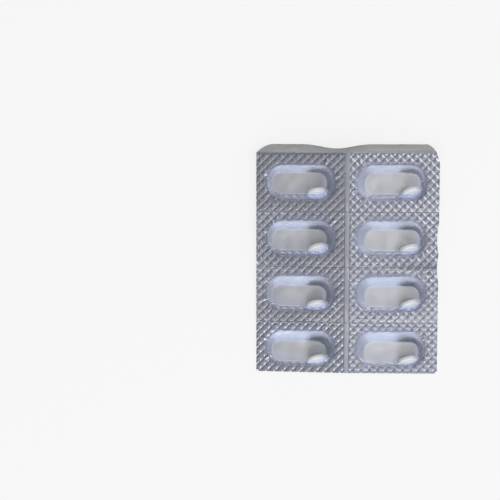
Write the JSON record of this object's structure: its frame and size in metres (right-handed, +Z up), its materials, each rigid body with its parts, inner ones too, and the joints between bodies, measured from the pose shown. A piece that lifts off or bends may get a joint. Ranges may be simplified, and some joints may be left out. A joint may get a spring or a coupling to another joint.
{
  "type": "pill blister pack",
  "caption": "Clear blister pack of round white tablets on knurled lidding foil, with its top margin bent back and a slight crease between two columns of pockets.",
  "frame": {"origin": "middle of the bounding box's underside, on the surface that the pack lies on", "axes": "+Z up, out of the pockets; +Y along the card towards its bent margin; +X across the card, to the right as the pockets are seen"},
  "size_m": [0.0806, 0.102, 0.0155],
  "materials": {
    "film": "gloss",
    "foil": "satin",
    "tablet": "matte"
  },
  "bodies": {
    "root": {"pocket_sheet": "film", "foil_lid": "foil", "tablet_r1_c1": "tablet", "tablet_r1_c2": "tablet", "tablet_r2_c1": "tablet", "tablet_r2_c2": "tablet", "tablet_r3_c1": "tablet", "tablet_r3_c2": "tablet", "tablet_r4_c1": "tablet", "tablet_r4_c2": "tablet"}
  },
  "joints": []
}
